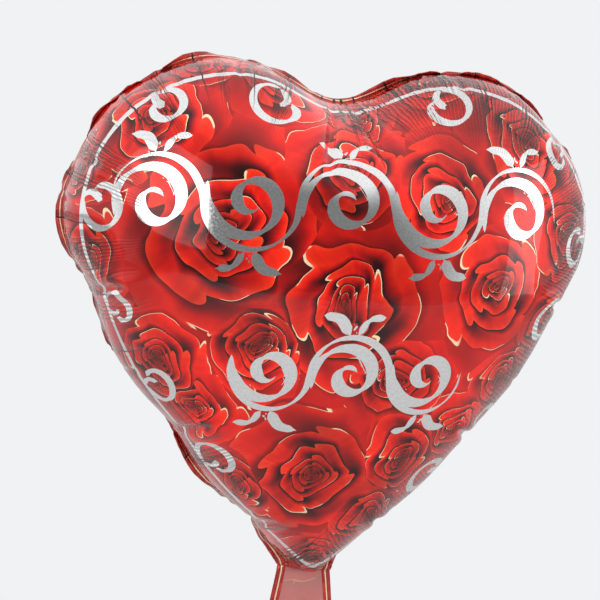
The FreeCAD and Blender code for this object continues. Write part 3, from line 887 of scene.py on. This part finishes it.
def printed_foil():
    """Red and silver printed foil: the ink is glossy over metal, and the silver is bare metal."""
    graph = Graph("printed_foil")
    flat = graph.value("flat")
    x, flat_z, _ = graph.parts(flat)
    inset, along, _ = graph.parts(graph.value("edge_place"))
    roses = rose_colour(graph, flat)
    silver = silver_mask(graph, inset, x, flat_z)

    on_flange = graph.math("LESS_THAN", inset, 0.0)
    # Painted highlight: bright red streaks along the flange stand for glints on its crinkled film.
    stretched = graph.join(graph.product(along, 0.12), graph.product(inset, 0.5), 5.0)
    flange_glints = graph.smooth(graph.noise(stretched, 1.0, 3.0), 0.40, 0.75)
    flange = graph.mix(flange_glints, FLANGE_RED, FLANGE_GLINT)
    off_line = graph.gap(inset, -FLANGE_LINE)
    flange = graph.mix(graph.smooth(off_line, 0.25, 0.6, 0.9, 0.0), flange, GOLD)
    colour = graph.mix(on_flange, roses, flange)

    in_tail = graph.smooth(flat_z, NECK_TOP + 6, FOLD_LINE_Z - 2)
    middle = graph.product(in_tail, graph.math("GREATER_THAN", inset, 0.0))
    colour = graph.mix(graph.product(middle, 0.75), colour, TAIL_GREY)
    ripples = seam_ripples(graph, inset, along, x)
    ripples = graph.product(ripples, graph.smooth(flat_z, NECK_TOP + 6, NECK_TOP + 24))
    # Painted shade and painted reflection: the colour darkens and lightens along the ripples.
    colour = graph.times(colour, graph.smooth(ripples, -1.0, 1.0, 0.70, 1.30))
    grain = graph.noise(flat, 0.6, 2.0)
    colour = graph.mix(silver, colour, graph.times(SILVER, graph.smooth(grain, 0.3, 0.7, 0.90, 1.04)))
    crease_shade, valley = crimp_creases(graph, inset, along, x)
    above_neck = graph.smooth(flat_z, 20.0, 35.0)
    crease_shade, valley = graph.product(crease_shade, above_neck), graph.product(valley, above_neck)
    # Painted shade: the sharp creases are painted near black.
    colour = graph.mix(crease_shade, colour, CREASE_PAINTED_SHADE)
    ink_rough = graph.smooth(grain, 0.3, 0.7, *INK_ROUGH)
    silver_rough = graph.smooth(grain, 0.3, 0.7, *SILVER_ROUGH)
    relief = graph.bump(valley, VALLEY_DEPTH, graph.bump(ripples, RIPPLE_DEPTH))
    return graph.finish(
        Base_Color=colour, Metallic=graph.mix(silver, INK_METAL, 1.0, "FLOAT"),
        Roughness=graph.mix(silver, ink_rough, silver_rough, "FLOAT"), Normal=relief,
        Specular_IOR_Level=0.2, Coat_Weight=0.75, Coat_Roughness=0.04)


def valve_film():
    """Thin translucent film with faint lengthwise haze."""
    graph = Graph("valve_film")
    place = graph.node("TexCoord", {}).outputs["Object"]
    haze = graph.noise(graph.vector("MULTIPLY", place, (400, 400, 60)), 1.0, 3.0)
    colour = graph.mix(haze, (0.80, 0.76, 0.72, 1), (0.95, 0.93, 0.90, 1))
    return graph.finish(
        Base_Color=colour, Roughness=graph.smooth(haze, 0.3, 0.7, 0.18, 0.34),
        Alpha=0.62, Normal=graph.bump(haze, 0.0001))


def seal_film():
    """The fused layer that shows as a thin line at the cut edge."""
    graph = Graph("seal_layer")
    place = graph.node("TexCoord", {}).outputs["Object"]
    ribs = graph.noise(place, 900.0, 2.0)
    colour = graph.mix(ribs, (0.45, 0.16, 0.10, 1), (0.72, 0.46, 0.34, 1))
    return graph.finish(
        Base_Color=colour, Metallic=0.4, Roughness=0.35, Normal=graph.bump(ribs, 0.00005))


# ------------------------ pieces

def tail_wave(points):
    """Small folds that run down the tail, shared by all its layers; points in millimetres."""
    depth = np.clip((FOLD_LINE_Z + 3 - points[:, 2]) / (FOLD_LINE_Z + 3 - TAIL_END), 0, 1)
    wave = np.sin(2 * math.pi * points[:, 0] / TAIL_WAVELENGTH + 0.6)
    wave += 0.4 * np.sin(2 * math.pi * points[:, 0] / (0.43 * TAIL_WAVELENGTH) + 1.9)
    moved = points.copy()
    moved[:, 1] += TAIL_WAVE * depth * wave
    return moved


def strip(stations, steps_across, depth_y, facing=-1):
    """A flat band: stations are (z, left x, right x) from top to bottom; points and triangles."""
    points, triangles = [], []
    row = steps_across + 1
    for z, left, right in stations:
        points += [(left + (right - left) * k / steps_across, depth_y, z) for k in range(row)]
    for level in range(len(stations) - 1):
        for k in range(steps_across):
            a, b = level * row + k, level * row + k + 1
            triangles += [(a + row, b + row, b), (a + row, b, a)]
    triangles = np.array(triangles)
    return np.array(points), triangles if facing < 0 else triangles[:, ::-1]


def joined(*bands):
    """Several bands as one set of points and triangles."""
    points, triangles, count = [], [], 0
    for band_points, band_triangles in bands:
        points.append(band_points)
        triangles.append(band_triangles + count)
        count += len(band_points)
    return np.vstack(points), np.vstack(triangles)


VALVE_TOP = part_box("valve_front_ply")[1].z / MM
VALVE_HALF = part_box("valve_front_ply")[1].x / MM
VALVE_SEAM = 3.0                    # width of the seam along each side of the sleeve
LIP_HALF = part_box("tail_valve_front_ply")[1].x / MM
WELD_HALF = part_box("neck_welds")[1].x / MM
WELD_TOP, WELD_END = 5.0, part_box("tail_welds")[0].z / MM
PLY_PLACE = 0.07                    # a ply's middle sheet, from the middle plane
PLY_OUT, PLY_IN = 0.05, -0.02       # a ply's two faces, from its middle sheet
SEAM_HALF = 0.04                    # half the thickness of the sleeve's seams
WELD_PLACE, WELD_THICK_HALF = 0.24, 0.09


def sleeve_heights():
    """Heights down the valve sleeve, close together where it folds."""
    return list(np.linspace(VALVE_TOP, 8, 15)) + list(np.linspace(7, TAIL_END, 21))


def crosses_fold(piece, slot, *nodes):
    """Bakes a piece's placement into its points and hides the CAD parts that it stands in for."""
    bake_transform(piece)
    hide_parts(*nodes)


def add_films(foil, material, seal_material):
    """The two printed films, each from the heart to the end of the tail, and the seal between them."""
    sheet = tail_wave(foil.now)
    values = print_values(foil.flat)
    front = np.vstack([foil.front, foil.flange])
    back = np.vstack([foil.back, foil.flange[:, ::-1]])
    for name, triangles in (("front", front), ("back", back)):
        film = thin_shell(f"{name}_film", sheet, triangles, FILM_OUT, FILM_IN, material, values)
        crosses_fold(film, f"printed_foil_{name}", f"{name}_panel", f"tail_{name}_film")
    seal = thin_shell("edge_seal", sheet, foil.flange, 0.8 * FILM_IN, -0.8 * FILM_IN, seal_material)
    crosses_fold(seal, "seal_layer", "perimeter_seal", "tail_edge_seals")


def add_sleeve(material):
    """The valve sleeve: two plies and the seams that join them along the sleeve's two sides."""
    plies = [(z, -VALVE_HALF, VALVE_HALF) for z in sleeve_heights()]
    plies += [(TAIL_END - 0.01, -LIP_HALF, LIP_HALF), (PORT_Z, -LIP_HALF, LIP_HALF)]
    for name, side in (("front", -1), ("back", 1)):
        points, triangles = strip(plies, 10, side * PLY_PLACE, side)
        ply = thin_shell(f"valve_{name}_sheet", tail_wave(points), triangles, PLY_OUT, PLY_IN, material)
        crosses_fold(ply, "valve_film", f"valve_{name}_ply", f"tail_valve_{name}_ply")
    heights = sleeve_heights() + [PORT_Z]
    right = strip([(z, VALVE_HALF - VALVE_SEAM, VALVE_HALF) for z in heights], 2, 0.0)
    left = strip([(z, -VALVE_HALF, VALVE_SEAM - VALVE_HALF) for z in heights], 2, 0.0)
    points, triangles = joined(left, right)
    seams = thin_shell("valve_seams", tail_wave(points), triangles, SEAM_HALF, -SEAM_HALF, material)
    crosses_fold(seams, "valve_film", "valve_side_seams", "tail_valve_side_seams")


def add_welds(material):
    """The welds that hold the valve sleeve to the front film and to the back film."""
    stations = [(z, -WELD_HALF, WELD_HALF) for z in np.linspace(WELD_TOP, WELD_END, 15)]
    points, triangles = joined(*(strip(stations, 8, side * WELD_PLACE, side) for side in (-1, 1)))
    faces = (WELD_THICK_HALF, -WELD_THICK_HALF)
    welds = thin_shell("film_welds", tail_wave(points), triangles, *faces, material)
    crosses_fold(welds, "seal_layer", "neck_welds", "tail_welds")


seal = seal_film()
add_films(inflated_foil(), printed_foil(), seal)
add_sleeve(valve_film())
add_welds(seal)


# ------------------------ floor, light and camera

def area_light(name, place, width, height, power, mirrored=True):
    """A soft rectangular lamp; the foil mirrors it unless it is only there to fill the shadows."""
    light = bpy.data.lights.new(name, "AREA")
    light.shape = "RECTANGLE"
    light.size, light.size_y = width, height
    light.energy = power
    lamp = scene_object(name, light)
    lamp.location = place
    lamp.rotation_euler = (MIDDLE - Vector(place)).to_track_quat("-Z", "Y").to_euler()
    lamp.visible_glossy = mirrored
    lamp.visible_camera = False


CAMERA_AZIMUTH, CAMERA_ELEVATION, CAMERA_ROLL = -12.0, 11.0, 4.3
CAMERA_DISTANCE = 1.1
FOCAL_PIXELS = 1618.0
FRAME_PIXELS = 600.0
PICTURE_CENTRE = (320.3, 341.0)     # where the middle of the balloon falls in the frame
azimuth, elevation = math.radians(CAMERA_AZIMUTH), math.radians(CAMERA_ELEVATION)

FLOOR_Z, FLOOR_RADIUS = -0.16, 3
BACKDROP, BACKDROP_STRENGTH = (0.97, 0.985, 1.0, 1), 0.90
MIDDLE = Vector((0, 0, 0.1642))

floor_mesh = bpy.data.meshes.new("floor")
turns = [math.radians(degrees) for degrees in range(0, 360, 5)]
rim = [(FLOOR_RADIUS * math.cos(turn), FLOOR_RADIUS * math.sin(turn), FLOOR_Z) for turn in turns]
floor_mesh.from_pydata(rim, [], [list(range(len(rim)))])
floor = scene_object("floor", floor_mesh)
floor_graph = Graph("pale_floor")
seen_by_camera = floor_graph.node("LightPath", {}).outputs["Is Camera Ray"]
floor_colour = floor_graph.mix(seen_by_camera, (0.38, 0.38, 0.38, 1), (0.0, 0.0, 0.0, 1))
floor_glow = floor_graph.mix(seen_by_camera, 0.0, BACKDROP_STRENGTH, "FLOAT")
floor_mesh.materials.append(floor_graph.finish(
    Base_Color=floor_colour, Roughness=1.0, Specular_IOR_Level=0.0,
    Emission_Color=BACKDROP, Emission_Strength=floor_glow))

area_light("left_softbox", (-1.3, -1.2, 0.9), 1.3, 1.3, 9)
area_light("right_softbox", (1.5, -0.7, 0.5), 0.5, 1.5, 5)
for name, place, size, power in (
        ("left", (-0.9, -2.0, 0.7), 1.6, 27), ("right", (1.2, -1.8, 0.3), 1.6, 19),
        ("back", (0.0, 1.9, 0.6), 1.6, 22), ("top", (0.1, 0.2, 1.6), 1.2, 10)):
    area_light(f"fill_{name}", place, size, size, power, mirrored=False)

# What the foil mirrors: a dim room in front, and the bright backdrop behind and to the sides.
away = Vector((-math.sin(azimuth), math.cos(azimuth), 0))       # level, from the camera on
studio = Graph("studio", "worlds")
direction = studio.node("TexCoord", {}).outputs["Generated"]
aim = studio.node("VectorMath", {0: direction, 1: away}, operation="DOT_PRODUCT").outputs["Value"]
mirrored_light = studio.smooth(aim, -0.80, -0.35, 0.22, 0.98)
seen_directly = studio.node("LightPath", {}).outputs["Is Camera Ray"]
strength = studio.mix(seen_directly, mirrored_light, BACKDROP_STRENGTH, "FLOAT")
bpy.context.scene.world = studio.finish(Color=BACKDROP, Strength=strength)

forward = away * math.cos(elevation) - Vector((0, 0, math.sin(elevation)))
bpy.context.scene.view_settings.view_transform = "Standard"
camera_data = bpy.data.cameras.new("camera")
camera_data.sensor_width = 36.0
camera_data.lens = FOCAL_PIXELS / FRAME_PIXELS * camera_data.sensor_width
camera_data.shift_x = -(PICTURE_CENTRE[0] - FRAME_PIXELS / 2) / FRAME_PIXELS
camera_data.shift_y = (PICTURE_CENTRE[1] - FRAME_PIXELS / 2) / FRAME_PIXELS
camera = scene_object("camera", camera_data)
camera.location = MIDDLE - forward * CAMERA_DISTANCE
turned = forward.to_track_quat("-Z", "Y") @ Quaternion((0, 0, 1), math.radians(CAMERA_ROLL))
camera.rotation_euler = turned.to_euler()
bpy.context.scene.camera = camera


def plain(box):
    """A box's two corners as lists of plain numbers."""
    return [[float(number) for number in corner] for corner in box]
